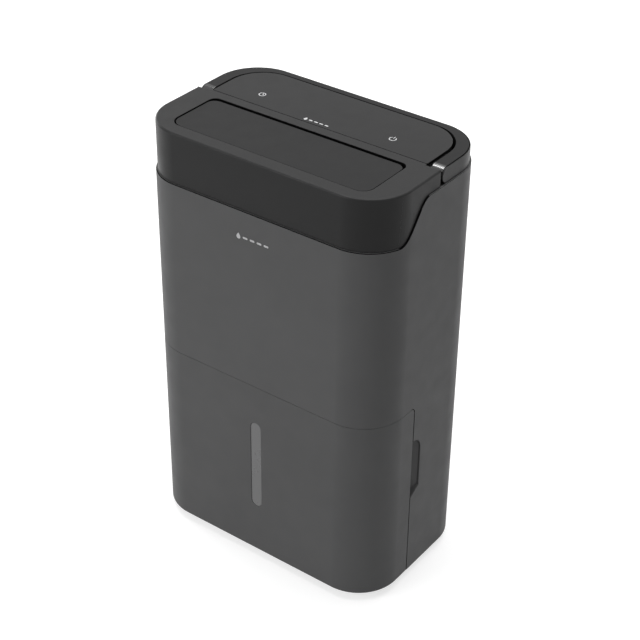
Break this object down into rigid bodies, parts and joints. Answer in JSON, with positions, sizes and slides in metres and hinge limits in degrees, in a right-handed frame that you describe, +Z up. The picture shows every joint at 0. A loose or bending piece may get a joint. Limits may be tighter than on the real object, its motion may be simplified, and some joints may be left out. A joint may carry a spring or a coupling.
{
  "type": "dehumidifier",
  "caption": "Upright cabinet dehumidifier with a front water tank and level window, top outlet flap, touch panel, fold-up carry handle and rear intake filter.",
  "frame": {"origin": "on the floor under the middle of the cabinet", "axes": "+Z up, +X to the right seen from the front, front faces -Y"},
  "size_m": [0.35, 0.216, 0.5715],
  "materials": {
    "cabinet_grey": "fine moulded grain, satin",
    "collar_charcoal": "fine moulded grain, satin",
    "panel_charcoal": "smooth satin film",
    "window_grey": "smoked translucent plastic",
    "black_plastic": "plain moulded",
    "light_plastic": "plain moulded",
    "clear_plastic": "translucent",
    "steel": "plated",
    "fins": "bare foil",
    "copper": "bare copper tube",
    "rubber": "matt",
    "board": "solder mask",
    "filter_net": "fine net",
    "foam": "closed cell foam"
  },
  "bodies": {
    "cabinet": {"main_casing": "cabinet_grey", "rear_cover": "cabinet_grey", "base_pan": "black_plastic", "bulkhead": "black_plastic", "mid_deck": "black_plastic", "top_cover": "collar_charcoal", "control_panel": "panel_charcoal", "panel_board": "board", "outlet_duct": "black_plastic", "outlet_grille": "black_plastic", "flap_motor": "light_plastic", "scroll_housing": "light_plastic", "fan_motor": "steel", "evaporator": "fins", "condenser": "fins", "drip_tray": "light_plastic", "compressor": "black_plastic", "compressor_foot_1": "rubber", "compressor_foot_2": "rubber", "compressor_foot_3": "rubber", "accumulator": "copper", "suction_pipe": "copper", "discharge_pipe": "copper", "capillary_tube": "copper", "control_box": "light_plastic", "capacitor": "light_plastic", "tank_switch": "black_plastic", "cord_gland": "rubber", "drain_port": "black_plastic", "humidity_sensor": "light_plastic", "rear_screw_1": "steel", "rear_screw_2": "steel", "rear_screw_3": "steel", "rear_screw_4": "steel", "handle_pin_left": "steel", "handle_pin_right": "steel"},
    "flap": {"outlet_flap": "collar_charcoal"},
    "handle": {"handle_frame": "collar_charcoal", "handle_trim": "collar_charcoal"},
    "water_tank": {"tank_front": "cabinet_grey", "water_window": "window_grey", "tank_bucket": "clear_plastic", "tank_lid": "clear_plastic"},
    "float": {"float_arm": "light_plastic", "float_block": "foam"},
    "intake_filter": {"intake_grille": "cabinet_grey", "filter_frame": "black_plastic", "filter_mesh": "filter_net"},
    "fan": {"fan_wheel": "black_plastic", "fan_shaft": "steel"},
    "drain_plug": {"drain_plug": "rubber"},
    "castor_1": {"castor_fork_1": "black_plastic"},
    "wheel_1": {"castor_wheel_1": "rubber"},
    "castor_2": {"castor_fork_2": "black_plastic"},
    "wheel_2": {"castor_wheel_2": "rubber"},
    "castor_3": {"castor_fork_3": "black_plastic"},
    "wheel_3": {"castor_wheel_3": "rubber"},
    "castor_4": {"castor_fork_4": "black_plastic"},
    "wheel_4": {"castor_wheel_4": "rubber"}
  },
  "joints": [
    {"name": "flap_hinge", "type": "hinge", "parent": "cabinet", "child": "flap", "pos_m": [0, -0.0115, 0.5666], "axis": [-1, 0, 0], "range_deg": [0, 75]},
    {"name": "handle_hinge", "type": "hinge", "parent": "cabinet", "child": "handle", "pos_m": [0, 0.017, 0.561], "axis": [1, 0, 0], "range_deg": [0, 90]},
    {"name": "tank_slide", "type": "slide", "parent": "cabinet", "child": "water_tank", "axis": [0, -1, 0], "range_m": [0, 0.12]},
    {"name": "float_hinge", "type": "hinge", "parent": "water_tank", "child": "float", "pos_m": [0.112, -0.04, 0.212], "axis": [0, 1, 0], "range_deg": [0, 22]},
    {"name": "filter_slide", "type": "slide", "parent": "cabinet", "child": "intake_filter", "axis": [0, 1, 0], "range_m": [0, 0.05]},
    {"name": "fan_spin", "type": "hinge", "parent": "cabinet", "child": "fan", "pos_m": [0, -0.036, 0.384], "axis": [0, 1, 0], "continuous": true},
    {"name": "drain_plug_slide", "type": "slide", "parent": "cabinet", "child": "drain_plug", "axis": [0, 1, 0], "range_m": [0, 0.02]},
    {"name": "castor_swivel_1", "type": "hinge", "parent": "cabinet", "child": "castor_1", "pos_m": [-0.12, -0.068, 0.016], "axis": [0, 0, 1], "continuous": true},
    {"name": "wheel_spin_1", "type": "hinge", "parent": "castor_1", "child": "wheel_1", "pos_m": [-0.12, -0.062, 0.0064], "axis": [1, 0, 0], "continuous": true},
    {"name": "castor_swivel_2", "type": "hinge", "parent": "cabinet", "child": "castor_2", "pos_m": [0.12, -0.068, 0.016], "axis": [0, 0, 1], "continuous": true},
    {"name": "wheel_spin_2", "type": "hinge", "parent": "castor_2", "child": "wheel_2", "pos_m": [0.12, -0.062, 0.0064], "axis": [1, 0, 0], "continuous": true},
    {"name": "castor_swivel_3", "type": "hinge", "parent": "cabinet", "child": "castor_3", "pos_m": [-0.12, 0.068, 0.016], "axis": [0, 0, 1], "continuous": true},
    {"name": "wheel_spin_3", "type": "hinge", "parent": "castor_3", "child": "wheel_3", "pos_m": [-0.12, 0.074, 0.0064], "axis": [1, 0, 0], "continuous": true},
    {"name": "castor_swivel_4", "type": "hinge", "parent": "cabinet", "child": "castor_4", "pos_m": [0.12, 0.068, 0.016], "axis": [0, 0, 1], "continuous": true},
    {"name": "wheel_spin_4", "type": "hinge", "parent": "castor_4", "child": "wheel_4", "pos_m": [0.12, 0.074, 0.0064], "axis": [1, 0, 0], "continuous": true}
  ]
}
